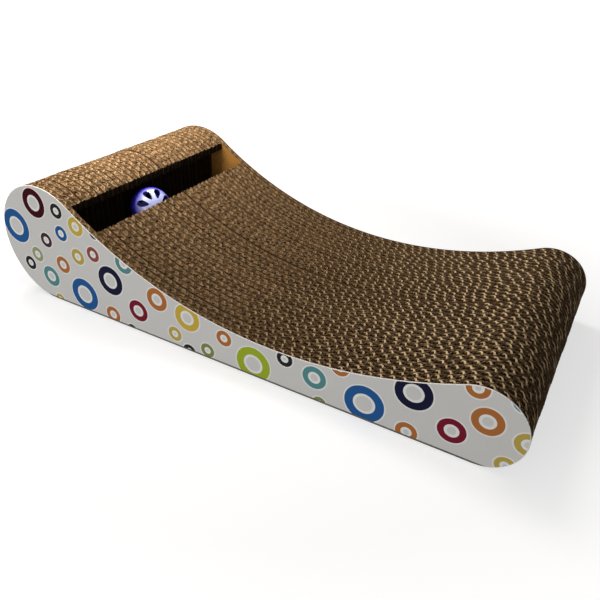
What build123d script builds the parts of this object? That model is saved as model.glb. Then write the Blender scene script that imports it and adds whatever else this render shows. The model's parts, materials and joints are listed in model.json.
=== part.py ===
from build123d import *
import os
from math import cos, hypot, radians, sin, sqrt

# Corrugated sheets, die-cut to one side profile and glued face to face across the width
sheet_count = 36
sheet_thickness = 6.1

# Flutes between the liners, coarser than real ones and sunk a little way into the top edge
flute_pitch = 19.0
flute_depth = 3.0
liner_thickness = 0.5
medium_thickness = 0.8
glue_line = 2.2

# Side profile: round head, hollow lounging curve, smaller round toe, flat base
overall_length = 467.0
head_radius = 54.0
toe_radius = 31.2
trough_radius = 343.0

# Pocket under the head, open to the top through a slot that is narrower than the ball
lip_from_head_end = 87.5
lip_thickness = 7.0
slot_width = 25.7
pocket_corner_radius = 3.0

# Slotted ball, trapped in the pocket
ball_radius = 19.0
ball_wall = 1.6
ball_floor_gap = 0.3
ball_front_gap = 1.0
ball_back_gap = 1.5
ball_roof_gap = 3.7
ball_rest_y = -18.7
ball_axis_azimuth = -26.7
ball_axis_elevation = 24.4

# Radial slots of each ball half, and the lapped rim that snaps the halves together
ball_slot_count = 8
ball_slot_turn = 22.6
ball_hub_radius = 7.1
ball_band = 2.8
ball_slot_inner_width = 2.8
ball_slot_outer_width = 6.4
rim_lap_height = 1.2
rim_lap_wall = 0.8
rim_lap_clearance = 0.05

# Jingle bell, loose inside the ball
bell_radius = 6.0
bell_wall = 0.4
bell_flange_reach = 0.6
bell_flange_thickness = 0.4
bell_rest_gap = 0.3
bell_slit_width = 1.2
bell_hole_radius = 1.1
bell_slit_margin = 1.4
pellet_radius = 1.5
pellet_rest_gap = 0.1

os.makedirs("parts", exist_ok=True)

# Arc centres: the trough is tangent to the head and to the toe from above
head_x = head_radius - overall_length / 2
toe_x = overall_length / 2 - toe_radius
span_x = toe_x - head_x
span_z = toe_radius - head_radius
span = hypot(span_x, span_z)
head_reach = head_radius + trough_radius
toe_reach = toe_radius + trough_radius
along = (span**2 + head_reach**2 - toe_reach**2) / (2 * span)
above = sqrt(head_reach**2 - along**2)
trough_x = head_x + (along * span_x - above * span_z) / span
trough_z = head_radius + (along * span_z + above * span_x) / span


def towards_trough(centre_x, radius, sunk=0):
    # Point where the trough meets a floor-tangent end circle, both sunk by the same depth
    share = (radius - sunk) / (radius + trough_radius)
    return (
        centre_x + (trough_x - centre_x) * share,
        radius + (trough_z - radius) * share,
    )


head_join = towards_trough(head_x, head_radius)
toe_join = towards_trough(toe_x, toe_radius)


def top_height(x):
    # Height of the top surface over the head and the trough
    if x < head_join[0]:
        return head_radius + sqrt(head_radius**2 - (x - head_x) ** 2)
    return trough_z - sqrt(trough_radius**2 - (x - trough_x) ** 2)


# Pocket planes, hung from the lip and sized by the ball
lip_x = lip_from_head_end - overall_length / 2
pocket_front = lip_x + slot_width
pocket_roof = top_height(lip_x) - lip_thickness
ball_x = pocket_front - ball_front_gap - ball_radius
ball_z = pocket_roof - ball_roof_gap - ball_radius
pocket_back = ball_x - ball_radius - ball_back_gap
pocket_floor = ball_z - ball_radius - ball_floor_gap
head_top = 2 * head_radius

with BuildSketch() as sheet_outline:
    with BuildLine():
        Line((head_x, 0), (toe_x, 0))
        ThreePointArc((toe_x, 0), (toe_x + toe_radius, toe_radius), toe_join)
        ThreePointArc(toe_join, (trough_x, trough_z - trough_radius), head_join)
        ThreePointArc(head_join, (head_x - head_radius, head_radius), (head_x, 0))
    make_face()

with BuildSketch() as pocket_cutout:
    with BuildLine():
        Polyline(
            (lip_x, head_top),
            (lip_x, pocket_roof),
            (pocket_back, pocket_roof),
            (pocket_back, pocket_floor),
            (pocket_front, pocket_floor),
            (pocket_front, head_top),
            close=True,
        )
    make_face()
    floor_corners = pocket_cutout.vertices().group_by(Axis.Y)[0]
    back_corners = pocket_cutout.vertices().group_by(Axis.X)[0]
    fillet(set(floor_corners) | set(back_corners), pocket_corner_radius)

# Floor of the flutes: the arcs of the profile sunk by the flute depth, on the same flat base
head_floor_join = towards_trough(head_x, head_radius, flute_depth)
toe_floor_join = towards_trough(toe_x, toe_radius, flute_depth)
head_floor = head_radius - flute_depth
toe_floor = toe_radius - flute_depth
trough_floor = trough_radius + flute_depth

with BuildSketch() as flute_floor:
    with BuildLine():
        Polyline((head_x, flute_depth), (head_x, 0), (toe_x, 0), (toe_x, flute_depth))
        ThreePointArc((toe_x, flute_depth), (toe_x + toe_floor, toe_radius), toe_floor_join)
        ThreePointArc(toe_floor_join, (trough_x, trough_z - trough_floor), head_floor_join)
        ThreePointArc(head_floor_join, (head_x - head_floor, head_radius), (head_x, flute_depth))
    make_face()

# Triangular flute mouths that open from either liner in turn, with a floor that follows the profile
flute_count = int(overall_length / flute_pitch) - 1
flute_base = flute_pitch - glue_line
flute_rise = sheet_thickness - 2 * liner_thickness - medium_thickness
far_liner = sheet_thickness - liner_thickness

with BuildPart() as flutes:
    with BuildSketch(Plane.XY.offset(toe_radius)):
        with GridLocations(flute_pitch, 1, flute_count, 1):
            Polygon(
                (-flute_base / 2, liner_thickness),
                (flute_base / 2, liner_thickness),
                (0, liner_thickness + flute_rise),
                align=None,
            )
        with GridLocations(flute_pitch, 1, flute_count - 1, 1):
            Polygon(
                (flute_base / 2, far_liner),
                (-flute_base / 2, far_liner),
                (0, far_liner - flute_rise),
                align=None,
            )
    extrude(amount=head_top)
    with BuildSketch(Plane.XZ.offset(-sheet_thickness)):
        add(flute_floor.sketch)
    extrude(amount=sheet_thickness, mode=Mode.SUBTRACT)

with BuildPart() as core_sheet:
    with BuildSketch(Plane.XZ.offset(-sheet_thickness)):
        add(sheet_outline.sketch)
        add(pocket_cutout.sketch, mode=Mode.SUBTRACT)
    extrude(amount=sheet_thickness)
    add(flutes.part, mode=Mode.SUBTRACT)

with BuildPart() as print_sheet:
    with BuildSketch(Plane.XZ.offset(-sheet_thickness)):
        add(sheet_outline.sketch)
    extrude(amount=sheet_thickness)
    add(flutes.part, mode=Mode.SUBTRACT)


def sheet_name(index):
    if index == 0:
        return "near_print_sheet"
    if index == sheet_count - 1:
        return "far_print_sheet"
    return f"core_sheet_{index:02d}"


# The two printed outer sheets close the pocket's ends, every sheet between them is cut out
width = sheet_count * sheet_thickness
for index in range(sheet_count):
    near_y = index * sheet_thickness - width / 2
    outermost = index in (0, sheet_count - 1)
    with BuildPart() as sheet:
        with Locations((0, near_y, 0)):
            add(print_sheet.part if outermost else core_sheet.part)
    sheet.part.label = sheet_name(index)
    export_step(sheet.part, f"parts/{sheet.part.label}.step")

# Ball frame: its own axis leans out of the pocket towards the near, low end
azimuth = radians(ball_axis_azimuth)
elevation = radians(ball_axis_elevation)
ball_centre = Vector(ball_x, ball_rest_y, ball_z)
ball_axis = Vector(cos(elevation) * cos(azimuth), cos(elevation) * sin(azimuth), sin(elevation))
ball_side = Vector(-sin(azimuth), cos(azimuth), 0)
ball_plane = Plane(ball_centre, x_dir=ball_side, z_dir=ball_axis)
ball_section = Plane(ball_centre, x_dir=ball_side, z_dir=ball_side.cross(ball_axis))
spin_axis = Axis(ball_centre, ball_axis)

ball_inner_radius = ball_radius - ball_wall
lap_radius = ball_inner_radius + rim_lap_wall
lap_inner = sqrt(ball_inner_radius**2 - rim_lap_height**2)
diagonal = sqrt(0.5)

with BuildSketch() as ball_slot:
    with Locations((ball_hub_radius + ball_slot_inner_width / 2, 0)):
        Circle(ball_slot_inner_width / 2)
    with Locations((ball_radius - ball_band - ball_slot_outer_width / 2, 0)):
        Circle(ball_slot_outer_width / 2)
    make_hull()

# Two hemispheres: the inner part of the upper rim reaches down into a rebate in the lower one
for side, rim_radius, half_name in (
    (1, lap_radius, "ball_upper_half"),
    (-1, lap_radius + rim_lap_clearance, "ball_lower_half"),
):
    with BuildPart() as ball_half:
        with BuildSketch(ball_section):
            with BuildLine():
                Line((0, side * ball_inner_radius), (0, side * ball_radius))
                ThreePointArc(
                    (0, side * ball_radius),
                    (ball_radius * diagonal, side * ball_radius * diagonal),
                    (ball_radius, 0),
                )
                Polyline(
                    (ball_radius, 0),
                    (rim_radius, 0),
                    (rim_radius, -rim_lap_height),
                    (lap_inner, -rim_lap_height),
                )
                ThreePointArc(
                    (lap_inner, -rim_lap_height),
                    (ball_inner_radius * diagonal, side * ball_inner_radius * diagonal),
                    (0, side * ball_inner_radius),
                )
            make_face()
        revolve(axis=spin_axis)
        with BuildSketch(ball_plane):
            with PolarLocations(0, ball_slot_count, start_angle=ball_slot_turn):
                add(ball_slot.sketch)
        extrude(amount=side * ball_radius, mode=Mode.SUBTRACT)
    ball_half.part.label = half_name
    export_step(ball_half.part, f"parts/{half_name}.step")

# Bell at the bottom of the ball's inside, its seam level
bell_z = ball_z - ball_inner_radius + bell_rest_gap + bell_radius
bell_centre = Vector(ball_x, ball_rest_y, bell_z)
bell_inner_radius = bell_radius - bell_wall
bell_section = Plane(bell_centre, x_dir=(1, 0, 0), z_dir=(0, -1, 0))
bell_axis = Axis(bell_centre, (0, 0, 1))
flange_radius = bell_radius + bell_flange_reach
flange_root = sqrt(bell_radius**2 - bell_flange_thickness**2)

hole_offset = bell_radius - bell_slit_margin - bell_hole_radius

# Two half domes that meet at a flat seam flange, the lower one with a slit that ends in round holes
for side, shell_name in ((1, "bell_upper_shell"), (-1, "bell_lower_shell")):
    with BuildPart() as bell_shell:
        with BuildSketch(bell_section):
            with BuildLine():
                Line((0, side * bell_inner_radius), (0, side * bell_radius))
                ThreePointArc(
                    (0, side * bell_radius),
                    (bell_radius * diagonal, side * bell_radius * diagonal),
                    (flange_root, side * bell_flange_thickness),
                )
                Polyline(
                    (flange_root, side * bell_flange_thickness),
                    (flange_radius, side * bell_flange_thickness),
                    (flange_radius, 0),
                    (bell_inner_radius, 0),
                )
                ThreePointArc(
                    (bell_inner_radius, 0),
                    (bell_inner_radius * diagonal, side * bell_inner_radius * diagonal),
                    (0, side * bell_inner_radius),
                )
            make_face()
        revolve(axis=bell_axis)
        if side < 0:
            with BuildSketch(Plane(bell_centre)):
                Rectangle(2 * hole_offset, bell_slit_width)
                with Locations((-hole_offset, 0), (hole_offset, 0)):
                    Circle(bell_hole_radius)
            extrude(amount=-bell_radius, mode=Mode.SUBTRACT)
    bell_shell.part.label = shell_name
    export_step(bell_shell.part, f"parts/{shell_name}.step")

pellet_z = bell_z - bell_inner_radius + pellet_rest_gap + pellet_radius
with BuildPart() as bell_pellet:
    with Locations((ball_x, ball_rest_y, pellet_z)):
        Sphere(pellet_radius)
bell_pellet.part.label = "bell_pellet"
export_step(bell_pellet.part, "parts/bell_pellet.step")
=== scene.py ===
import json
import math
import random

import bpy
from mathutils import Matrix, Vector
from mathutils.geometry import delaunay_2d_cdt


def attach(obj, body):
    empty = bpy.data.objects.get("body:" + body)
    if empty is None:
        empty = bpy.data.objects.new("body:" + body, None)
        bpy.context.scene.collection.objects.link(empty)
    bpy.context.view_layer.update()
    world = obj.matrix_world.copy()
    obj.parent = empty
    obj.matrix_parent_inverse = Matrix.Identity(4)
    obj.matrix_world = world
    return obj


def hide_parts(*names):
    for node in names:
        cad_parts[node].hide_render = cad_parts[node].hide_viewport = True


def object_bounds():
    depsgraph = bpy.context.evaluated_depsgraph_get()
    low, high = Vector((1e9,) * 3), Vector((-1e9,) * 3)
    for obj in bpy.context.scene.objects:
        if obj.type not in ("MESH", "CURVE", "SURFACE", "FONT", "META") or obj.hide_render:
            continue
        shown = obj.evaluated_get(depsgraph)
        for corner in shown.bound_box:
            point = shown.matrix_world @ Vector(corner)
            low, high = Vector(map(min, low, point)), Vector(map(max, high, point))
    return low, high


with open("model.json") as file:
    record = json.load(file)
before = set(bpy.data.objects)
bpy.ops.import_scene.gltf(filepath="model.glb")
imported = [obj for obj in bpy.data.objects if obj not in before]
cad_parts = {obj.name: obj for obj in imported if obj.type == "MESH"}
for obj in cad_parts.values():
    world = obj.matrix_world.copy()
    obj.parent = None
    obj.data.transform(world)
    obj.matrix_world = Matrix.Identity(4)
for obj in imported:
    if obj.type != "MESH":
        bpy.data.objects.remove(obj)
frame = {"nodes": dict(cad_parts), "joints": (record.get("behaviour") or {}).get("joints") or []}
cadLow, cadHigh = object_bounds()
mm = 0.001
turn = 2 * math.pi
print("frame loaded,", len(frame["nodes"]), "nodes")


class Sock:
    # one output of a node, ready for plain sums
    def __init__(self, graph, node, key=0):
        self.graph = graph
        self.node = node
        self.socket = node.outputs[key] if len(node.outputs) else None

    def out(self, key):
        return Sock(self.graph, self.node, key)

    def maths(self, operation, first, second=0.0):
        return self.graph.node("ShaderNodeMath", {"operation": operation}, {0: first, 1: second})

    def __add__(self, other):
        return self.maths("ADD", self, other)

    def __radd__(self, other):
        return self.maths("ADD", other, self)

    def __sub__(self, other):
        return self.maths("SUBTRACT", self, other)

    def __rsub__(self, other):
        return self.maths("SUBTRACT", other, self)

    def __mul__(self, other):
        return self.maths("MULTIPLY", self, other)

    def __rmul__(self, other):
        return self.maths("MULTIPLY", other, self)

    def __truediv__(self, other):
        return self.maths("DIVIDE", self, other)

    def __rtruediv__(self, other):
        return self.maths("DIVIDE", other, self)

    def __gt__(self, other):
        return self.maths("GREATER_THAN", self, other)

    def __lt__(self, other):
        return self.maths("LESS_THAN", self, other)


class Graph:
    # a shader or geometry tree that is written node by node
    def __init__(self, tree):
        self.tree = tree

    def node(self, kind, settings=None, sockets=None, out=0):
        made = self.tree.nodes.new(kind)
        for name, value in (settings or {}).items():
            setattr(made, name, value)
        for key, value in (sockets or {}).items():
            self.feed(made.inputs[key], value)
        return Sock(self, made, out)

    def feed(self, socket, value):
        if isinstance(value, Sock):
            self.tree.links.new(value.socket, socket)
        elif isinstance(value, list):
            for each in value:
                self.tree.links.new(each.socket, socket)
        else:
            socket.default_value = value

    def mixColour(self, share, first, second, blend="MIX"):
        settings = {"data_type": "RGBA", "blend_type": blend}
        return self.node("ShaderNodeMix", settings, {0: share, 6: first, 7: second}, 2)

    def objectSpot(self):
        return self.node("ShaderNodeTexCoord", {}, {}, "Object")

    def noise(self, vector, scale, detail=2.0, roughness=0.5):
        sockets = {"Vector": vector, "Scale": scale, "Detail": detail, "Roughness": roughness}
        return self.node("ShaderNodeTexNoise", {"noise_dimensions": "3D"}, sockets)

    def stretched(self, vector, scale):
        return self.node("ShaderNodeMapping", {}, {"Vector": vector, "Scale": scale})

    def bumped(self, height, distance, strength):
        sockets = {"Height": height, "Distance": distance, "Strength": strength}
        return self.node("ShaderNodeBump", {}, sockets)

    def attribute(self, name, out="Fac"):
        return self.node("ShaderNodeAttribute", {"attribute_name": name}, {}, out)

    def part(self, vector, axis):
        return self.node("ShaderNodeSeparateXYZ", {}, {0: vector}, axis)

    def one(self, operation, value):
        return self.node("ShaderNodeMath", {"operation": operation}, {0: value})

    def size(self, value):
        return self.one("ABSOLUTE", value)

    def clamped(self, value):
        return self.node("ShaderNodeClamp", {}, {"Value": value})

    def position(self, x, y, z):
        return self.node("ShaderNodeCombineXYZ", {}, {0: x, 1: y, 2: z})


def paint(red, green, blue):
    # screen values 0-255 to the linear colour that Blender keeps
    def linear(value):
        share = value / 255
        return share / 12.92 if share <= 0.04045 else ((share + 0.055) / 1.055) ** 2.4

    return (linear(red), linear(green), linear(blue), 1.0)


def newMaterial(name, fixed):
    material = bpy.data.materials.new(name)
    material.use_nodes = True
    shader = material.node_tree.nodes["Principled BSDF"]
    for key, value in fixed.items():
        shader.inputs[key].default_value = value
    return material, Graph(material.node_tree), shader.inputs


# Side profile that every sheet is cut to, and the pocket under its head

profile = {
    "length": 467 * mm,
    "headRadius": 54 * mm,
    "toeRadius": 31.2 * mm,
    "troughRadius": 343 * mm,
    "step": 1.8 * mm,
}
pocket = {
    "slot": 25.7 * mm,
    "frontGap": 1.0 * mm,
    "backGap": 1.5 * mm,
    "floorGap": 0.3 * mm,
    "roofGap": 3.7 * mm,
    "lip": 7.0 * mm,
    "corner": 3 * mm,
    "ballRadius": 19 * mm,
}

# corrugated board, torn more and more from frayFrom towards the toe, where the cut edges also get more
# painted light and shade
board = {
    "sheets": 36,
    "liner": 0.6 * mm,
    "medium": 1.3 * mm,
    "flutePitch": 7.7 * mm,
    "flankSteepness": 0.4,
    "pointsPerFlute": 16,
    "ribbonHeads": 3.0,
    "ribbonMiddle": 0.4,
    "wander": 0.9,
    "wanderPerMetre": 40.0,
    "wanderApart": 10.0,
    "tone": (0.1, 0.3),
    "crease": 0.85,
    "cutFacing": 0.3,
    "trim": 0.1 * mm,
    "trimSpread": 0.5 * mm,
    "tornEdge": 0.3 * mm,
    "fuzzDepth": 0.7 * mm,
    "fuzzTorn": 0.9 * mm,
    "fuzzDeeper": 4.0 * mm,
    "fuzzInset": 0.5 * mm,
    "frayFrom": 0.0,
    "frayOver": 0.16,
    "gap": 0.1 * mm,
    "gapSpread": 0.9 * mm,
    "glueInto": 0.05 * mm,
    "seed": 41,
}

headR = profile["headRadius"]
toeR = profile["toeRadius"]
troughR = profile["troughRadius"]
headX = headR - profile["length"] / 2
toeX = profile["length"] / 2 - toeR

# the trough's centre lies where circles round both end centres cross
span = Vector((toeX - headX, toeR - headR))
along = (span.length_squared + (headR + troughR) ** 2 - (toeR + troughR) ** 2) / (2 * span.length)
above = math.sqrt((headR + troughR) ** 2 - along**2)
trough = Vector((headX, headR)) + (along * span + above * Vector((-span.y, span.x))) / span.length
headAngle = math.atan2(trough.y - headR, trough.x - headX)
toeAngle = math.atan2(trough.y - toeR, trough.x - toeX)

rollJoint = next(joint for joint in frame["joints"] if joint["name"] == "ball_roll")
ballCentre = Vector(rollJoint["pos_m"])
pocketFront = ballCentre.x + pocket["ballRadius"] + pocket["frontGap"]
pocketBack = ballCentre.x - pocket["ballRadius"] - pocket["backGap"]
pocketFloor = ballCentre.z - pocket["ballRadius"] - pocket["floorGap"]
pocketRoof = ballCentre.z + pocket["ballRadius"] + pocket["roofGap"]
lipX = pocketFront - pocket["slot"]
sheetThickness = (cadHigh.y - cadLow.y) / board["sheets"]


# Materials

kraftLook = {
    "cutDark": paint(76, 60, 43),
    "cutLight": paint(214, 182, 140),
    "paintedToeHighlight": paint(240, 208, 162),
    "fuzzDark": paint(96, 75, 51),
    "fuzzLight": paint(168, 133, 92),
    "faceDark": paint(150, 118, 80),
    "faceLight": paint(186, 149, 103),
    "flute": paint(184, 147, 103),
    "toeHoleShade": paint(86, 62, 40),
    "wallDark": paint(142, 100, 47),
    "wallLight": paint(172, 124, 61),
    "seam": paint(38, 28, 18),
    "speck": paint(70, 50, 32),
    "pocketShadeColour": paint(14, 10, 9),
    "blotchPerMetre": 55,
    "fleckPerMetre": 420,
    "grainPerMetre": 1400,
    "fibrePerMetre": (900, 900, 160),
    "speckPerMetre": (700, 700, 300),
    "linerLess": 0.2,
    "fleckShare": 1.3,
    "paintedToeContrast": 1.5,
    "grainShare": 0.6,
    "flankHighlight": 0.14,
    "flankHighlightToToe": 0.72,
    "paintedToeLift": 0.14,
    "tangleSwing": 2,
    "weaveSwing": 0.9,
    "fluteShare": 0.75,
    "toeHoleShadeShare": 0.85,
    "seamWidth": 0.24,
    "seamShare": (0.35, 0.6),
    "seamFray": 0.6,
    "speckFrom": 0.69,
    "speckShare": 0.5,
    "pocketShadeShare": 0.92,
    "shine": 0.03,
    "roughness": 0.8,
    "grainRoughness": 0.25,
    "cutRoughness": 0.08,
    "cutGrain": 2.2,
    "bumpDepth": 0.25 * mm,
    "bump": 0.5,
}


def cutColour(graph, toeFrayAndLight, fleck, grain):
    # cut edges get a painted highlight on one flank of each flute; towards the toe painted light makes
    # them paler, lifts them and sharpens their flecks
    look = kraftLook
    medium = graph.attribute("medium")
    fleckShare = look["fleckShare"] * (1 + look["paintedToeContrast"] * toeFrayAndLight)
    shade = graph.attribute("tone") + fleckShare * (fleck - 0.5) + look["grainShare"] * (grain - 0.5)
    shade = shade + (look["flankHighlight"] + look["flankHighlightToToe"] * toeFrayAndLight) * graph.attribute("flank")
    shade = shade - look["linerLess"] * (1 - medium) + look["paintedToeLift"] * toeFrayAndLight
    light = graph.mixColour(toeFrayAndLight, look["cutLight"], look["paintedToeHighlight"])
    cut = graph.mixColour(shade, look["cutDark"], light)

    # the torn fibres sunk between the flutes are darker, and painted shade darkens them further towards
    # the toe
    tuft = 0.5 + look["tangleSwing"] * (fleck - 0.5)
    tangle = graph.mixColour(tuft, look["fuzzDark"], look["fuzzLight"])
    tangle = graph.mixColour(look["toeHoleShadeShare"] * toeFrayAndLight, tangle, look["toeHoleShade"])
    return graph.mixColour(graph.attribute("fuzz"), cut, tangle)


def faceColour(graph, toeFrayAndLight, weave, onWall):
    # flat liners, the pocket's end wall and the flutes' sides
    look = kraftLook
    liner = graph.mixColour(weave, look["faceDark"], look["faceLight"])
    wall = graph.mixColour(weave, look["wallDark"], look["wallLight"])
    liner = graph.mixColour(onWall, liner, wall)
    inside = graph.mixColour(look["fluteShare"] * graph.attribute("medium"), liner, look["flute"])
    # painted shade: towards the toe the flutes' sides darken like deep holes
    return graph.mixColour(look["toeHoleShadeShare"] * toeFrayAndLight, inside, look["toeHoleShade"])


def kraftMaterial():
    look = kraftLook
    material, graph, shader = newMaterial("kraftBoard", {"Specular IOR Level": look["shine"]})
    spot = graph.objectSpot()
    blotch = graph.noise(spot, look["blotchPerMetre"], 3)
    fleck = graph.noise(spot, look["fleckPerMetre"], 2, 0.6)
    grain = graph.noise(spot, look["grainPerMetre"], 2, 0.6)
    fibre = graph.noise(graph.stretched(spot, look["fibrePerMetre"]), 1, 3, 0.65)
    speck = graph.noise(graph.stretched(spot, look["speckPerMetre"]), 1, 1) > look["speckFrom"]
    weave = 0.5 + look["weaveSwing"] * (blotch - 0.5) + look["weaveSwing"] * (fibre - 0.5)
    # 0 on the slope, 1 at the toe: where the board frays, and where the painted highlights and shade
    #                               grow stronger
    toeFrayAndLight = graph.clamped((graph.part(spot, "X") - board["frayFrom"]) / board["frayOver"])
    cutEdge = graph.attribute("cutEdge")
    endWall = cadHigh.y - sheetThickness
    pocketEnd = endWall - board["gap"]
    onWall = inPocket(graph, spot, pocketEnd, cadHigh.y, 2 * headR)

    flat = faceColour(graph, toeFrayAndLight, weave, onWall)
    colour = graph.mixColour(cutEdge, flat, cutColour(graph, toeFrayAndLight, fleck, grain))
    seam = seamShade(graph, spot) * (1 - onWall) * (1 - look["seamFray"] * toeFrayAndLight)
    colour = graph.mixColour(seam, colour, look["seam"])
    colour = graph.mixColour(look["speckShare"] * speck, colour, look["speck"])
    # painted shade: the pocket's walls and floor round the ball, up to the lip, are darkened almost to
    # black
    lipTop = pocketRoof + pocket["lip"] - board["trimSpread"]
    pocketShade = inPocket(graph, spot, -endWall, pocketEnd, lipTop)
    colour = graph.mixColour(look["pocketShadeShare"] * pocketShade, colour, look["pocketShadeColour"])
    graph.feed(shader["Base Color"], colour)

    matt = look["roughness"] + look["grainRoughness"] * (grain - 0.5) + look["cutRoughness"] * cutEdge
    graph.feed(shader["Roughness"], matt)
    rough = fibre * (1 - cutEdge) + look["cutGrain"] * grain * cutEdge
    graph.feed(shader["Normal"], graph.bumped(rough, look["bumpDepth"], look["bump"]))
    return material


def seamShade(graph, spot):
    # dark rows where two sheets meet, each as deep as its own glue line left it
    look = kraftLook
    place = (graph.part(spot, "Y") - cadLow.y) / sheetThickness
    joint = graph.one("ROUND", place)
    chance = graph.node("ShaderNodeTexWhiteNoise", {"noise_dimensions": "1D"}, {"W": joint})
    closeness = graph.clamped(1 - graph.size(place - joint) / look["seamWidth"])
    least, spread = look["seamShare"]
    return closeness * (least + spread * chance)


def inPocket(graph, spot, near, far, top):
    # 1 on the walls of the ball's pocket between two depths and up to a height, 0 elsewhere
    inside = 1.0
    for axis, low, high in (
        ("X", pocketBack - sheetThickness, pocketFront - sheetThickness / 4),
        ("Y", near, far),
        ("Z", pocketFloor - sheetThickness, top),
    ):
        place = graph.part(spot, axis)
        inside = inside * (place > low) * (place < high)
    return inside


printLook = {
    "cloudPerMetre": 30,
    "grainPerMetre": (1600, 1600, 900),
    "level": 0.955,
    "cloudShade": 0.06,
    "grainShade": 0.07,
    "shine": 0.01,
    "roughness": 0.55,
    "cloudRoughness": 0.18,
    "grainRoughness": 0.1,
    "ripplePitch": board["flutePitch"],
    "rippleRise": 0.5,
    "grainRise": 0.35,
    "bumpDepth": 0.12 * mm,
    "bump": 0.25,
}


def printMaterial():
    look = printLook
    material, graph, shader = newMaterial("printedLiner", {"Specular IOR Level": look["shine"]})
    spot = graph.objectSpot()
    ink = graph.attribute("ink", "Color")
    cloud = graph.noise(spot, look["cloudPerMetre"], 3)
    grain = graph.noise(graph.stretched(spot, look["grainPerMetre"]), 1, 2, 0.6)
    level = look["level"] + look["cloudShade"] * (cloud - 0.5) + look["grainShade"] * (grain - 0.5)
    grey = graph.node("ShaderNodeCombineColor", {}, {0: level, 1: level, 2: level})
    graph.feed(shader["Base Color"], graph.mixColour(1.0, ink, grey, "MULTIPLY"))
    matt = look["roughness"] + look["cloudRoughness"] * (cloud - 0.5)
    graph.feed(shader["Roughness"], matt + look["grainRoughness"] * (grain - 0.5))

    # the flutes behind the print show through as a faint ripple
    ripple = graph.one("SINE", graph.part(spot, "X") * (turn / look["ripplePitch"]))
    rise = look["rippleRise"] * ripple + look["grainRise"] * grain
    graph.feed(shader["Normal"], graph.bumped(rise, look["bumpDepth"], look["bump"]))
    return material


ball = {
    "radius": pocket["ballRadius"],
    "wall": 1.6 * mm,
    "slots": 8,
    "slotTurn": math.radians(22.6),
    "hub": 7.1 * mm,
    "band": 2.8 * mm,
    "slotInner": 2.8 * mm,
    "slotOuter": 6.4 * mm,
    "slotPoints": 20,
    "slotReach": 1.2,
    "parting": 0.12 * mm,
    "segments": 112,
    "crease": 0.6,
    "azimuth": math.radians(-26.7),
    "elevation": math.radians(24.4),
}

ballLook = {
    "deep": paint(60, 50, 192),
    "pale": paint(190, 198, 254),
    "paleFrom": 0.36,
    "paleOver": 0.5,
    "cloudPerMetre": 120,
    "cloudShare": 0.3,
    "scuffPerMetre": (400, 1500, 900),
    "roughness": 0.24,
    "scuffRoughness": 0.2,
    "bumpDepth": 0.05 * mm,
    "bump": 0.3,
    "glowDepth": (0.6 * mm, 0.6 * mm, 1.5 * mm),
    "fixed": {"Coat Weight": 0.35, "Coat Roughness": 0.12, "Subsurface Weight": 0.15},
}


def ballAxis():
    # the ball's own axis leans out of the pocket
    level = math.cos(ball["elevation"])
    return Vector((
        level * math.cos(ball["azimuth"]),
        level * math.sin(ball["azimuth"]),
        math.sin(ball["elevation"]),
    ))


def ballMaterial():
    # deep blue at the parting line, paler towards the two hubs
    look = ballLook
    material, graph, shader = newMaterial("bluePlastic", look["fixed"])
    shader["Subsurface Radius"].default_value = look["glowDepth"]
    spot = graph.objectSpot()
    cloud = graph.noise(spot, look["cloudPerMetre"], 2)
    scuff = graph.noise(graph.stretched(spot, look["scuffPerMetre"]), 1, 3, 0.6)
    out = graph.node("ShaderNodeVectorMath", {"operation": "SUBTRACT"}, {0: spot, 1: ballCentre})
    rise = {0: out, 1: ballAxis()}
    height = graph.node("ShaderNodeVectorMath", {"operation": "DOT_PRODUCT"}, rise, "Value")
    towardsHub = graph.size(height) / ball["radius"]
    tint = (towardsHub - look["paleFrom"]) / look["paleOver"] + look["cloudShare"] * (cloud - 0.5)
    graph.feed(shader["Base Color"], graph.mixColour(graph.clamped(tint), look["deep"], look["pale"]))
    graph.feed(shader["Roughness"], look["roughness"] + look["scuffRoughness"] * (scuff - 0.5))
    graph.feed(shader["Normal"], graph.bumped(scuff, look["bumpDepth"], look["bump"]))
    return material


metalLook = {
    "brass": (paint(196, 152, 74), paint(236, 204, 128)),
    "steel": (paint(148, 150, 154), paint(204, 206, 210)),
    "tarnishPerMetre": 350,
    "brushPerMetre": (300, 300, 3200),
    "roughness": 0.26,
    "brushRoughness": 0.25,
    "tarnishRoughness": 0.2,
    "bumpDepth": 0.03 * mm,
    "bump": 0.3,
}


def metalMaterial(finish):
    look = metalLook
    material, graph, shader = newMaterial(finish, {"Metallic": 1.0})
    spot = graph.objectSpot()
    tarnish = graph.noise(spot, look["tarnishPerMetre"], 3, 0.6)
    brushed = graph.noise(graph.stretched(spot, look["brushPerMetre"]), 1, 2)
    graph.feed(shader["Base Color"], graph.mixColour(tarnish, *look[finish]))
    satin = look["roughness"] + look["brushRoughness"] * (brushed - 0.5)
    graph.feed(shader["Roughness"], satin + look["tarnishRoughness"] * (tarnish - 0.5))
    graph.feed(shader["Normal"], graph.bumped(brushed, look["bumpDepth"], look["bump"]))
    return material


kraft = kraftMaterial()
printed = printMaterial()
bluePlastic = ballMaterial()
print("materials made")


# Outlines of the sheets

def topHeight(x):
    if x < headX + headR * math.cos(headAngle):
        return headR + math.sqrt(max(headR**2 - (x - headX) ** 2, 0))
    if x > toeX + toeR * math.cos(toeAngle):
        return toeR + math.sqrt(max(toeR**2 - (x - toeX) ** 2, 0))
    return trough.y - math.sqrt(troughR**2 - (x - trough.x) ** 2)


def baseHeight(x):
    # the underside is flat between the end circles and curls up beyond their centres
    centre, radius = (headX, headR) if x < headX else (toeX, toeR)
    away = 0.0 if headX < x < toeX else x - centre
    return radius - math.sqrt(radius**2 - away**2)


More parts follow.
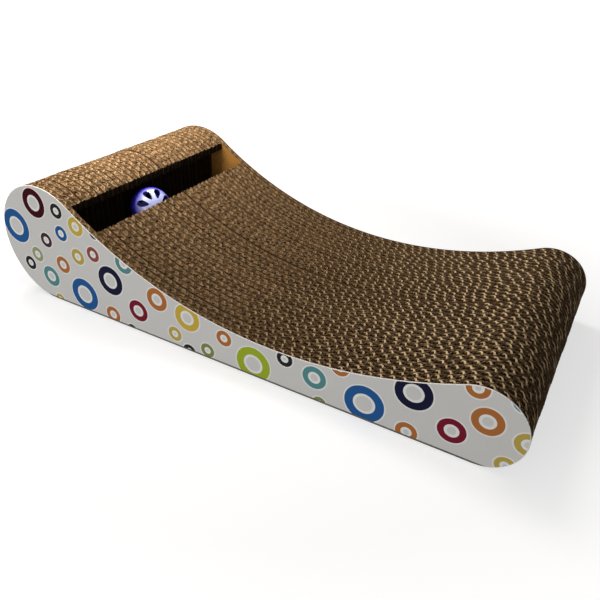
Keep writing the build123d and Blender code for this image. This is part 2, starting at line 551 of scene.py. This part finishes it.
def arc(centre, radius, start, stop, outward=1, step=profile["step"]):
    # points with the outward direction of the sheet's edge there
    count = max(3, round(abs(stop - start) * radius / step))
    found = []
    for index in range(count + 1):
        angle = start + (stop - start) * index / count
        way = Vector((math.cos(angle), math.sin(angle)))
        found.append((Vector(centre) + radius * way, outward * way))
    return found


def troughAngle(x):
    return -math.acos((x - trough.x) / troughR)


def pocketEdge(inset):
    # down the slot's front, round the pocket and back to the lip, all moved out by the inset
    corner = pocket["corner"]
    front = pocketFront + inset - corner
    back = pocketBack - inset + corner
    low = pocketFloor - inset + corner
    high = pocketRoof + inset - corner
    fine = corner / 4
    edge = [
        *arc((front, low), corner, 0, -turn / 4, 0, fine),
        *arc((back, low), corner, -turn / 4, -turn / 2, 0, fine),
        *arc((back, high), corner, turn / 2, turn / 4, 0, fine),
    ]
    return [*edge, (Vector((lipX - inset, high + corner)), Vector((0, 0)))]


def frayAt(x):
    return min(max((x - board["frayFrom"]) / board["frayOver"], 0.0), 1.0)


def sheetOutline(trim, rough, dice, notched, inset=0.0, deeper=0.0):
    # anticlockwise from the base's toe end, each point drawn in by the trim and a little torn
    toeJoin = toeX + toeR * math.cos(toeAngle)
    headJoin = headX + headR * math.cos(headAngle)
    edge = arc((toeX, toeR), toeR, -turn / 4, toeAngle)
    if notched:
        edge += arc(trough, troughR, troughAngle(toeJoin), troughAngle(pocketFront + inset), -1)[1:]
        edge += pocketEdge(inset)
        edge += arc(trough, troughR, troughAngle(lipX - inset), troughAngle(headJoin), -1)
    else:
        edge += arc(trough, troughR, troughAngle(toeJoin), troughAngle(headJoin), -1)[1:]
    edge += arc((headX, headR), headR, headAngle, turn * 3 / 4)[1:]
    drawn = []
    for point, way in edge:
        inwards = trim + rough * dice.random() + deeper * frayAt(point.x)
        place = point - way * inwards
        drawn.append(Vector((place.x, max(place.y, inset))))
    return drawn


def faceMesh(name, *outlines):
    # flat profiles one after another, facing +Y
    corners = []
    faces = []
    for outline in outlines:
        first = len(corners)
        corners += [(point.x, 0.0, point.y) for point in reversed(outline)]
        faces.append(range(first, len(corners)))
    mesh = bpy.data.meshes.new(name)
    mesh.from_pydata(corners, [], faces)
    return mesh


def addPiece(name, mesh):
    piece = bpy.data.objects.new(name, mesh)
    bpy.context.scene.collection.objects.link(piece)
    return piece


def settle(piece, body, node):
    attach(piece, body)
    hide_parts(node)


# Geometry Nodes

across = (0.0, 1.0, 0.0)
weld = 0.001 * mm


def startTree(name, inputs):
    tree = bpy.data.node_groups.new(name, "GeometryNodeTree")
    tree.interface.new_socket("Geometry", in_out="INPUT", socket_type="NodeSocketGeometry")
    for label, kind in inputs.items():
        tree.interface.new_socket(label, in_out="INPUT", socket_type="NodeSocket" + kind)
    tree.interface.new_socket("Geometry", in_out="OUTPUT", socket_type="NodeSocketGeometry")
    graph = Graph(tree)
    return graph, graph.node("NodeGroupInput")


def runTree(piece, tree, values):
    modifier = piece.modifiers.new("shape", "NODES")
    modifier.node_group = tree
    for item in tree.interface.items_tree:
        if item.in_out == "INPUT" and item.name in values:
            modifier[item.identifier] = values[item.name]
    scene = bpy.context.evaluated_depsgraph_get()
    mesh = bpy.data.meshes.new_from_object(
        piece.evaluated_get(scene), preserve_all_data_layers=True, depsgraph=scene
    )
    mesh.name = piece.name
    piece.modifiers.clear()
    piece.data = mesh
    return piece


def closedSheet(graph, face, thickness, lift, way=None):
    # a face pushed out into a closed board
    sockets = {"Mesh": face, "Offset Scale": thickness, "Individual": False}
    if way:
        sockets["Offset"] = way
    pushed = graph.node("GeometryNodeExtrudeMesh", {"mode": "FACES"}, sockets)
    back = graph.node("GeometryNodeFlipFaces", {}, {"Mesh": face})
    both = graph.node("GeometryNodeJoinGeometry", {}, {"Geometry": [back, pushed]})
    whole = graph.node("GeometryNodeMergeByDistance", {}, {"Geometry": both, "Distance": weld})
    return moved(graph, whole, graph.position(0.0, lift, 0.0))


def moved(graph, geometry, shift):
    return graph.node("GeometryNodeTransform", {}, {"Geometry": geometry, "Translation": shift})


def marked(graph, geometry, name, value, domain="FACE"):
    settings = {"data_type": "FLOAT", "domain": domain}
    sockets = {"Geometry": geometry, "Name": name, "Value": value}
    return graph.node("GeometryNodeStoreNamedAttribute", settings, sockets)


def softened(graph, geometry, angle):
    # smooth shading, broken where two faces meet at more than the angle
    sockets = {0: geometry, "Shade Smooth": True}
    smooth = graph.node("GeometryNodeSetShadeSmooth", {"domain": "FACE"}, sockets)
    bent = graph.node("GeometryNodeInputMeshEdgeAngle") > angle
    sockets = {0: smooth, "Selection": bent, "Shade Smooth": False}
    return graph.node("GeometryNodeSetShadeSmooth", {"domain": "EDGE"}, sockets)


def closeTree(graph, geometry, material):
    made = graph.node("GeometryNodeRealizeInstances", {}, {"Geometry": geometry})
    done = graph.node("GeometryNodeSetMaterial", {}, {"Geometry": made, "Material": material})
    graph.node("NodeGroupOutput", {}, {0: done})
    return graph.tree


def flatLiners(graph, given, face):
    # one on each side, unless a printed face takes its place
    start = given.out("Near Face")
    far = given.out("Far Liner")
    liners = []
    for shown, depth, lift in (
        ("Show Near Liner", given.out("Near Liner"), start),
        ("Show Far Liner", far, start + given.out("Thickness") - far),
    ):
        liner = marked(graph, closedSheet(graph, face, depth, lift, across), "medium", 0.0)
        sockets = {"Switch": given.out(shown), "True": liner}
        liners.append(graph.node("GeometryNodeSwitch", {"input_type": "GEOMETRY"}, sockets))
    return liners


def wavyMedium(graph, given, face):
    # a ribbon with steep flanks that wander a little, cut to the sheet's profile
    thickness = given.out("Thickness")
    near = given.out("Near Liner")
    medium = given.out("Medium")
    pitch = given.out("Flute Pitch")
    sizes = {
        "Size X": given.out("Length"),
        "Size Y": given.out("Height"),
        "Vertices X": given.out("Length") / pitch * board["pointsPerFlute"],
        "Vertices Y": 2,
    }
    grid = graph.node("GeometryNodeMeshGrid", {}, sizes)
    place = graph.node("ShaderNodeSeparateXYZ", {}, {0: graph.node("GeometryNodeInputPosition")})
    drift = {
        "Vector": graph.position(place.out("X"), given.out("Seed"), 0.0),
        "Scale": board["wanderPerMetre"],
        "Detail": 1.0,
    }
    stray = graph.node("ShaderNodeTexNoise", {"noise_dimensions": "2D"}, drift)
    turns = place.out("X") / pitch + given.out("Phase") + given.out("Wander") * (stray - 0.5)
    angle = turns * turn
    steep = board["flankSteepness"]
    wave = (graph.one("SINE", angle) + steep * graph.one("SINE", 3 * angle)) / (1 - steep / 4)
    reach = (thickness - near - given.out("Far Liner") - medium) * 0.5
    depth = given.out("Near Face") + near + reach + reach * wave
    height = given.out("Height") * board["ribbonMiddle"] - place.out("Y")
    waved = {"Geometry": grid, "Position": graph.position(place.out("X"), depth, height)}
    ribbon = graph.node("GeometryNodeSetPosition", {}, waved)
    paper = closedSheet(graph, ribbon, medium, 0.0)
    mould = closedSheet(graph, face, thickness, given.out("Near Face"), across)
    settings = {"operation": "INTERSECT", "solver": "MANIFOLD"}
    flutes = graph.node("GeometryNodeMeshBoolean", settings, {"Mesh 2": [paper, mould]})
    flutes = marked(graph, flutes, "medium", 1.0)
    # flank marks the side of each flute whose cut edge takes the painted highlight
    return marked(graph, flutes, "flank", 0 - graph.one("COSINE", angle), "POINT")


def tornFibres(graph, given, tangle):
    # fuzz and glue that half fill the flutes and the seam, a little below the cut edge
    start = given.out("Near Face") + given.out("Near Liner")
    fuzz = closedSheet(graph, tangle, given.out("Fuzz Thickness"), start, across)
    return marked(graph, marked(graph, fuzz, "medium", 1.0), "fuzz", 1.0)


def corrugatedSheetTree():
    inputs = {
        "Near Liner": "Float",
        "Far Liner": "Float",
        "Show Near Liner": "Bool",
        "Show Far Liner": "Bool",
        "Medium": "Float",
        "Thickness": "Float",
        "Fuzz Thickness": "Float",
        "Near Face": "Float",
        "Length": "Float",
        "Height": "Float",
        "Flute Pitch": "Float",
        "Phase": "Float",
        "Wander": "Float",
        "Seed": "Float",
        "Tone": "Float",
        "Kraft": "Material",
    }
    graph, given = startTree("corrugatedSheet", inputs)
    isFirst = graph.node("GeometryNodeInputIndex") < 0.5
    sockets = {"Geometry": given.out("Geometry"), "Selection": isFirst}
    face = graph.node("GeometryNodeSeparateGeometry", {"domain": "FACE"}, sockets)
    liners = flatLiners(graph, given, face)
    flutes = wavyMedium(graph, given, face)
    fuzz = tornFibres(graph, given, face.out("Inverted"))
    sheet = graph.node("GeometryNodeJoinGeometry", {}, {"Geometry": [*liners, flutes, fuzz]})
    facing = graph.part(graph.node("GeometryNodeInputNormal"), "Y")
    sheet = marked(graph, sheet, "cutEdge", graph.size(facing) < board["cutFacing"])
    sheet = marked(graph, sheet, "tone", given.out("Tone"))
    return closeTree(graph, softened(graph, sheet, board["crease"]), given.out("Kraft"))


sheetTree = corrugatedSheetTree()
boardDice = random.Random(board["seed"])


def makeSheet(name, index, node, notched, printLiner=0.0):
    # sheets are numbered from the near side, and only the outer two have a printed liner
    trim = board["trim"] + board["trimSpread"] * boardDice.random()
    if not notched:
        trim = board["trim"]
    outline = sheetOutline(trim, board["tornEdge"], boardDice, notched)
    depth = trim + board["fuzzDepth"]
    torn = board["fuzzTorn"]
    tangle = sheetOutline(depth, torn, boardDice, notched, board["fuzzInset"], board["fuzzDeeper"])
    piece = addPiece(name, faceMesh(name, outline, tangle))
    first = index == 0
    last = index == board["sheets"] - 1
    near = printLiner if first else board["liner"]
    far = printLiner if last else board["liner"]
    slack = board["gap"] + board["gapSpread"] * boardDice.random() ** 2
    glued = sheetThickness - near + board["glueInto"]
    runTree(
        piece,
        sheetTree,
        {
            "Near Liner": near,
            "Far Liner": far,
            "Show Near Liner": not first,
            "Show Far Liner": not last,
            "Medium": board["medium"],
            "Thickness": sheetThickness - slack,
            "Fuzz Thickness": sheetThickness - near - far if last else glued,
            "Near Face": cadLow.y + index * sheetThickness,
            "Length": profile["length"],
            "Height": board["ribbonHeads"] * headR,
            "Flute Pitch": board["flutePitch"],
            "Phase": boardDice.random(),
            "Wander": board["wander"],
            "Seed": board["wanderApart"] * index,
            "Tone": boardDice.uniform(*board["tone"]),
            "Kraft": kraft,
        },
    )
    settle(piece, "scratcher", node)


for index in range(1, board["sheets"] - 1):
    makeSheet(f"boardSheet{index:02d}", index, f"core_sheet_{index:02d}", True)


# Printed outer liners

panelInks = {
    "ground": paint(204, 203, 200),
    "glow": paint(224, 223, 221),
    "halo": paint(226, 226, 224),
    "edge": paint(236, 235, 232),
    # painted shade on the bend along the base
    "base": paint(106, 99, 91),
    "cutSide": paint(124, 95, 66),
}
ringInks = {
    "maroon": paint(60, 13, 21),
    "blue": paint(40, 88, 146),
    "black": paint(42, 40, 42),
    "yellow": paint(196, 168, 70),
    "plum": paint(74, 44, 54),
    "olive": paint(152, 154, 116),
    "teal": paint(86, 136, 138),
    "orange": paint(172, 107, 57),
    "red": paint(142, 76, 70),
    "navy": paint(28, 29, 52),
    "crimson": paint(118, 29, 47),
    "gold": paint(182, 160, 78),
    "green": paint(124, 134, 78),
    "lime": paint(154, 171, 46),
}
inks = {**panelInks, **ringInks}

printSheet = {
    "liner": 0.9 * mm,
    "edgeRadius": 0.5 * mm,
    "rimSteps": 3,
    "trim": 0.06 * mm,
    "baseBend": 2.3 * mm,
    "baseGap": 0.1 * mm,
    "baseDepth": 0.72 * mm,
    "baseSlack": 0.05 * mm,
    "haloOutside": 1.1 * mm,
    "haloInside": 2.0 * mm,
    "leastGround": 0.5 * mm,
    "hole": 0.62,
    "holeLess": 0.9 * mm,
    "ringPoints": 44,
    "weld": 0.0001 * mm,
}

# ink, then the ring's centre along the base, its height and its radius, in millimetres
nearRings = [
    ("maroon", -186, 92, 13.1),
    ("blue", -216, 64, 15.8),
    ("black", -159, 91, 6.6),
    ("yellow", -138.5, 82, 8.2),
    ("blue", -158, 71, 6.8),
    ("plum", -179, 59.5, 6.8),
    ("olive", -195, 41.5, 7),
    ("black", -207.5, 29.5, 6.6),
    ("teal", -182, 23, 9.8),
    ("orange", -163, 40, 7.9),
    ("gold", -142, 53.5, 7.3),
    ("red", -123, 61, 6.8),
    ("black", -118, 81, 5),
    ("teal", -89, 62, 8.8),
    ("blue", -141.5, 17, 15.3),
    ("navy", -107, 41, 13.3),
    ("orange", -109.5, 7, 7.8),
    ("black", -89, -2, 6),
    ("crimson", -79, 21, 9.9),
    ("orange", -57, 39, 10.2),
    ("yellow", -27, 32, 11.9),
    ("gold", -41, 12, 6.6),
    ("black", -27, 0, 6.5),
    ("green", -8.5, 8, 6.4),
    ("orange", 8, 25.6, 6.9),
    ("lime", 34.6, 12, 15),
    ("black", 62, 27.7, 6.6),
    ("teal", 86.7, 21, 9.5),
    ("orange", 106, 38, 7),
    ("green", 92, 0, 5.5),
    ("blue", 126, 15, 15),
    ("navy", 159, 39, 13.2),
    ("orange", 158, 5, 7.9),
    ("crimson", 187, 20.4, 9.7),
    ("orange", 197, 60, 7.6),
    ("orange", 207, 37.8, 10.4),
    ("teal", 225, 61, 8),
    ("gold", 232.5, 31.4, 8.5),
    ("gold", 223, 9, 6.8),
    ("gold", -176, 1, 5.5),
]

farPrint = {
    "seed": 8,
    "rings": 44,
    "tries": 4000,
    "spacing": 5 * mm,
    "radii": (6.8 * mm, 7 * mm, 9.8 * mm, 10.2 * mm, 14 * mm),
}


def scatteredRings():
    # the far side carries the same kind of rings, thrown afresh
    dice = random.Random(farPrint["seed"])
    colours = list(ringInks)
    rings = []
    for _ in range(farPrint["tries"]):
        x = dice.uniform(-profile["length"], profile["length"]) / 2
        z = dice.uniform(0, 2 * headR)
        radius = dice.choice(farPrint["radii"])
        clear = all(
            math.hypot(x - other[1], z - other[2]) > radius + other[3] + farPrint["spacing"]
            for other in rings
        )
        if clear and z < topHeight(x) + radius / 2 and len(rings) < farPrint["rings"]:
            rings.append((dice.choice(colours), x, z, radius))
    return rings


def ringSteps(radius):
    # radii where the colour changes, from the plain middle out to the faint glow round the ring
    hole = printSheet["hole"] * radius - printSheet["holeLess"]
    middle = hole - printSheet["haloInside"]
    steps = [(hole, "halo"), (radius, "ring"), (radius + printSheet["haloOutside"], "glow")]
    if middle > printSheet["leastGround"]:
        steps.insert(0, (middle, "ground"))
    return steps


def inkAt(x, z, rings):
    # a ring's own ink covers the halo or glow of its neighbours
    found = "ground"
    for colour, ringX, ringZ, radius in rings:
        reach = math.hypot(x - ringX, z - ringZ)
        zone = next((zone for size, zone in ringSteps(radius) if reach < size), "ground")
        if zone == "ring":
            return colour
        if zone != "ground":
            found = zone
    return found


def printedFlat(outline, rings):
    # the flat face, divided along every ink edge
    points = list(outline)
    edges = [(index, (index + 1) % len(points)) for index in range(len(points))]
    for _, x, z, radius in rings:
        for size, _ in ringSteps(radius):
            first = len(points)
            count = printSheet["ringPoints"]
            for step in range(count):
                angle = turn * step / count
                points.append(Vector((x + size * math.cos(angle), z + size * math.sin(angle))))
                edges.append((first + step, first + (step + 1) % count))
    whole = [list(range(len(outline)))]
    spots, _, faces, _, _, owners = delaunay_2d_cdt(points, edges, whole, 0, printSheet["weld"])
    kept = []
    for corners, owner in zip(faces, owners):
        if owner:
            middle = sum((spots[corner] for corner in corners), Vector((0, 0))) / 3
            kept.append((corners, inkAt(middle.x, middle.y, rings)))
    return spots, kept


def rimLoop(faces):
    # the flat face's own border, in order
    sides = {}
    for corners, _ in faces:
        for first, second in zip(corners, [*corners[1:], corners[0]]):
            sides[(first, second)] = True
    following = {first: second for first, second in sides if (second, first) not in sides}
    loop = [next(iter(following))]
    while following[loop[-1]] != loop[0]:
        loop.append(following[loop[-1]])
    return loop


def alongBase(point):
    return point.y <= printSheet["baseBend"] + printSheet["baseSlack"]


def rimBends(spots, loop):
    # the way outwards from each rim point, and the reach and depth of its bend, deeper along the base
    radius = printSheet["edgeRadius"]
    bends = []
    for index, corner in enumerate(loop):
        tangent = spots[loop[(index + 1) % len(loop)]] - spots[loop[index - 1]]
        way = Vector((tangent.y, -tangent.x)).normalized()
        if alongBase(spots[corner]):
            drop = printSheet["baseBend"] - printSheet["baseGap"] - baseHeight(spots[corner].x)
            bends.append((way, max(drop, radius), printSheet["baseDepth"]))
        else:
            bends.append((way, radius, radius))
    return bends


def bentRim(spots, loop, ring, points, outer, side):
    # faces and inks from the flat face's border back to the plain cut side, which closes the liner
    polygons = []
    colours = []
    bends = rimBends(spots, loop)
    steps = printSheet["rimSteps"]
    for step in range(1, steps + 2):
        bent = step <= steps
        angle = turn / 4 * min(step, steps) / steps
        first = len(points)
        for corner, (way, reach, depth) in zip(loop, bends):
            spot = spots[corner] + way * (reach * math.sin(angle))
            back = depth * (1 - math.cos(angle)) if bent else printSheet["liner"]
            points.append((spot.x, outer - side * back, max(spot.y, 0.0)))
        following = list(range(first, len(points)))
        for index in range(len(loop)):
            after = (index + 1) % len(loop)
            polygons.append([ring[after], ring[index], following[index], following[after]])
            middle = (spots[loop[index]] + spots[loop[after]]) / 2
            # the bend along the base is painted in shade
            rim = "base" if alongBase(middle) else "edge"
            colours.append(rim if bent else "cutSide")
        ring = following
    polygons.append(list(reversed(ring)))
    colours.append("cutSide")
    return polygons, colours


def makePrintFace(name, rings, outer, side, node):
    # side is -1 on the near panel, whose print looks along -Y
    trim = printSheet["trim"] + printSheet["edgeRadius"]
    outline = sheetOutline(trim, 0.0, random.Random(0), False, printSheet["baseBend"])
    spots, faces = printedFlat(outline, rings)
    used = sorted({corner for corners, _ in faces for corner in corners})
    place = {corner: index for index, corner in enumerate(used)}
    points = [(spots[corner].x, outer, spots[corner].y) for corner in used]
    loop = rimLoop(faces)
    border = [place[corner] for corner in loop]
    rim, rimColours = bentRim(spots, loop, border, points, outer, side)
    polygons = [[place[corner] for corner in corners] for corners, _ in faces] + rim
    colours = [colour for _, colour in faces] + rimColours
    if side > 0:
        polygons = [corners[::-1] for corners in polygons]

    mesh = bpy.data.meshes.new(name)
    mesh.from_pydata(points, [], polygons)
    layer = mesh.attributes.new("ink", "FLOAT_COLOR", "FACE")
    layer.data.foreach_set("color", [value for colour in colours for value in inks[colour]])
    mesh.validate()
    mesh.materials.append(printed)
    settle(addPiece(name, mesh), "scratcher", node)


nearPlaces = [(ink, x * mm, z * mm, radius * mm) for ink, x, z, radius in nearRings]
makePrintFace("nearPrintFace", nearPlaces, cadLow.y, -1, "near_print_sheet")
makePrintFace("farPrintFace", scatteredRings(), cadHigh.y, 1, "far_print_sheet")
makeSheet("nearPrintBoard", 0, "near_print_sheet", False, printSheet["liner"])
makeSheet("farPrintBoard", board["sheets"] - 1, "far_print_sheet", False, printSheet["liner"])
print("printed panels made")


# Slotted ball and its bell

def slotCutters(graph, given):
    # one tapered slot, then copies of it round the axis
    radius = given.out("Radius")
    small = given.out("Slot Inner") * 0.5
    large = given.out("Slot Outer") * 0.5
    rims = []
    for size, reach in ((small, given.out("Hub") + small), (large, radius - given.out("Band") - large)):
        for height in (-ball["slotReach"], ball["slotReach"]):
            circle = {"Vertices": ball["slotPoints"], "Radius": size}
            rim = graph.node("GeometryNodeMeshCircle", {}, circle)
            rims.append(moved(graph, rim, graph.position(reach, 0.0, radius * height)))
    rims = graph.node("GeometryNodeJoinGeometry", {}, {"Geometry": rims})
    slot = graph.node("GeometryNodeConvexHull", {}, {"Geometry": rims})
    points = graph.node("GeometryNodePoints", {}, {"Count": given.out("Slots")})
    share = graph.node("GeometryNodeInputIndex") / given.out("Slots")
    spin = graph.position(0.0, 0.0, share * turn + given.out("Slot Turn"))
    copies = {"Points": points, "Instance": slot, "Rotation": spin}
    slots = graph.node("GeometryNodeInstanceOnPoints", {}, copies)
    return graph.node("GeometryNodeRealizeInstances", {}, {"Geometry": slots})


def slottedBallTree():
    inputs = {
        "Radius": "Float",
        "Wall": "Float",
        "Slots": "Int",
        "Slot Turn": "Float",
        "Hub": "Float",
        "Band": "Float",
        "Slot Inner": "Float",
        "Slot Outer": "Float",
        "Parting": "Float",
        "Side": "Float",
        "Lean": "Vector",
        "Centre": "Vector",
        "Plastic": "Material",
    }
    graph, given = startTree("slottedBall", inputs)
    radius = given.out("Radius")
    globe = {"Segments": ball["segments"], "Rings": ball["segments"] // 2}
    outer = graph.node("GeometryNodeMeshUVSphere", {}, {**globe, "Radius": radius})
    inner = graph.node("GeometryNodeMeshUVSphere", {}, {**globe, "Radius": radius - given.out("Wall")})
    slots = slotCutters(graph, given)
    settings = {"operation": "DIFFERENCE", "solver": "MANIFOLD"}
    cage = graph.node("GeometryNodeMeshBoolean", settings, {"Mesh 1": outer, "Mesh 2": [inner, slots]})

    # a cube keeps one half, short of the parting line
    side = radius * 3
    cube = graph.node("GeometryNodeMeshCube", {}, {"Size": graph.position(side, side, side)})
    lift = given.out("Side") * (side * 0.5 + given.out("Parting") * 0.5)
    cutter = moved(graph, cube, graph.position(0.0, 0.0, lift))
    settings = {"operation": "INTERSECT", "solver": "MANIFOLD"}
    half = graph.node("GeometryNodeMeshBoolean", settings, {"Mesh 2": [cage, cutter]})
    placing = {"Geometry": half, "Translation": given.out("Centre"), "Rotation": given.out("Lean")}
    placed = graph.node("GeometryNodeTransform", {}, placing)
    return closeTree(graph, softened(graph, placed, ball["crease"]), given.out("Plastic"))


def makeBall():
    axis = ballAxis()
    sideways = Vector((-axis.y, axis.x, 0)).normalized()
    lean = Matrix((sideways, axis.cross(sideways), axis)).transposed().to_euler()
    tree = slottedBallTree()
    for name, side, node in (
        ("ballUpperHalf", 1.0, "ball_upper_half"),
        ("ballLowerHalf", -1.0, "ball_lower_half"),
    ):
        piece = addPiece(name, bpy.data.meshes.new(name))
        runTree(
            piece,
            tree,
            {
                "Radius": ball["radius"],
                "Wall": ball["wall"],
                "Slots": ball["slots"],
                "Slot Turn": ball["slotTurn"],
                "Hub": ball["hub"],
                "Band": ball["band"],
                "Slot Inner": ball["slotInner"],
                "Slot Outer": ball["slotOuter"],
                "Parting": ball["parting"],
                "Side": side,
                "Lean": lean,
                "Centre": ballCentre,
                "Plastic": bluePlastic,
            },
        )
        settle(piece, "ball", node)


makeBall()
for node, finish in (
    ("bell_upper_shell", "brass"),
    ("bell_lower_shell", "brass"),
    ("bell_pellet", "steel"),
):
    material = bpy.data.materials.get(finish) or metalMaterial(finish)
    frame["nodes"][node].data.materials.clear()
    frame["nodes"][node].data.materials.append(material)
print("ball and bell made")


# Floor, light and camera

studio = {
    "floorSide": 40.0,
    "white": paint(255, 255, 255),
    "black": paint(0, 0, 0),
    "floor": (0.54, 0.54, 0.54, 1.0),
    "floorBounce": paint(120, 119, 117),
    "floorLift": 0.65,
    "fadeFrom": 0.26,
    "fadeOver": 0.3,
    "skyMiddle": 0.18,
    "skySwing": 0.12,
    "skyFrom": (-0.8, -0.6, 0.0),
}
lamps = {
    "keyLamp": {
        "place": (-0.7, 0.35, 1.1),
        "aim": (0.0, 0.0, 0.05),
        "size": (0.5, 0.5),
        "watts": 7.0,
        "colour": (1.0, 0.95, 0.88),
    },
    "headLamp": {
        "place": (-0.175, 0.0, 0.2),
        "aim": (-0.175, 0.0, 0.0),
        "size": (0.08, 0.24),
        "watts": 0.54,
        "colour": (1.0, 0.93, 0.84),
    },
    "frontLamp": {
        "place": (-0.2, -1.3, 0.17),
        "aim": (0.03, -0.1, 0.05),
        "size": (1.2, 0.6),
        "watts": 12.9,
        "colour": (1.0, 1.0, 0.99),
    },
}


def lookedAt(graph):
    # 1 for what the camera sees, also in a gloss or through a clear piece, 0 for bounced light
    path = graph.node("ShaderNodeLightPath")
    seen = path.out("Is Camera Ray") + path.out("Is Glossy Ray") + path.out("Is Transmission Ray")
    return graph.node("ShaderNodeMath", {"operation": "MINIMUM"}, {0: seen, 1: 1.0})


def makeFloor():
    # the object's shadow stays, and the floor fades to white away from it
    half = studio["floorSide"] / 2
    mesh = bpy.data.meshes.new("floor")
    corners = [(-half, -half, 0), (half, -half, 0), (half, half, 0), (-half, half, 0)]
    mesh.from_pydata(corners, [], [(0, 1, 2, 3)])
    material = bpy.data.materials.new("paleFloor")
    material.use_nodes = True
    material.node_tree.nodes.clear()
    graph = Graph(material.node_tree)
    seen = lookedAt(graph)
    colour = graph.mixColour(seen, studio["floorBounce"], studio["floor"])
    matt = graph.node("ShaderNodeBsdfDiffuse", {}, {"Color": colour})
    spot = graph.objectSpot()
    away = graph.node("ShaderNodeVectorMath", {"operation": "LENGTH"}, {0: spot}, "Value")
    fade = graph.clamped((away - studio["fadeFrom"]) / studio["fadeOver"])
    level = studio["floorLift"] + (1 - studio["floorLift"]) * fade
    pale = graph.mixColour(level * seen, studio["black"], studio["white"])
    glow = graph.node("ShaderNodeEmission", {}, {"Color": pale, "Strength": 1.0})
    both = graph.node("ShaderNodeAddShader", {}, {0: matt, 1: glow})
    graph.node("ShaderNodeOutputMaterial", {}, {"Surface": both})
    mesh.materials.append(material)
    floor = addPiece("floor", mesh)


def makeSky():
    world = bpy.data.worlds.new("studioSky")
    bpy.context.scene.world = world
    world.use_nodes = True
    world.node_tree.nodes.clear()
    graph = Graph(world.node_tree)
    seen = lookedAt(graph)
    way = graph.node("ShaderNodeTexCoord", {}, {}, "Generated")
    facing = {0: way, 1: Vector(studio["skyFrom"]).normalized()}
    share = graph.node("ShaderNodeVectorMath", {"operation": "DOT_PRODUCT"}, facing, "Value")
    level = studio["skyMiddle"] + studio["skySwing"] * share
    strength = seen + (1 - seen) * level
    sky = graph.node("ShaderNodeBackground", {}, {"Color": studio["white"], "Strength": strength})
    graph.node("ShaderNodeOutputWorld", {}, {"Surface": sky})


def makeLamps():
    # soft boxes: the key from behind the head, one close over it, one that fills the printed side
    for name, values in lamps.items():
        light = bpy.data.lights.new(name, "AREA")
        light.shape = "RECTANGLE"
        light.size, light.size_y = values["size"]
        light.energy = values["watts"]
        light.color = values["colour"]
        lamp = addPiece(name, light)
        lamp.location = values["place"]
        way = Vector(values["place"]) - Vector(values["aim"])
        lamp.rotation_euler = way.to_track_quat("Z", "Y").to_euler()
        lamp.visible_camera = False


camera = {
    "place": (239.4 * mm, -412.4 * mm, 291.7 * mm),
    "yaw": math.radians(-30.14),
    "pitch": math.radians(31.73),
    "roll": math.radians(1.2),
    "focalPixels": 605.1,
    "centrePixel": (287.7, 303.7),
    "imageSide": 600,
    "sensor": 36,
    "clip": (0.01, 100),
}


def makeCamera():
    data = bpy.data.cameras.new("photoCamera")
    data.sensor_width = camera["sensor"]
    data.lens = data.sensor_width * camera["focalPixels"] / camera["imageSide"]
    half = camera["imageSide"] / 2
    data.shift_x = (half - camera["centrePixel"][0]) / camera["imageSide"]
    data.shift_y = (camera["centrePixel"][1] - half) / camera["imageSide"]
    data.clip_start, data.clip_end = camera["clip"]
    yaw = camera["yaw"]
    pitch = camera["pitch"]
    roll = camera["roll"]
    right = Vector((math.cos(yaw), -math.sin(yaw), 0))
    up = Vector((math.sin(yaw) * math.sin(pitch), math.cos(yaw) * math.sin(pitch), math.cos(pitch)))
    rolledRight = math.cos(roll) * right + math.sin(roll) * up
    rolledUp = math.cos(roll) * up - math.sin(roll) * right
    turned = Matrix((rolledRight, rolledUp, rolledRight.cross(rolledUp))).transposed()
    eye = addPiece("photoCamera", data)
    eye.matrix_world = Matrix.Translation(camera["place"]) @ turned.to_4x4()
    bpy.context.scene.camera = eye


makeFloor()
makeSky()
makeLamps()
makeCamera()
bpy.context.scene.view_settings.view_transform = "Standard"
print("floor, light and camera placed")
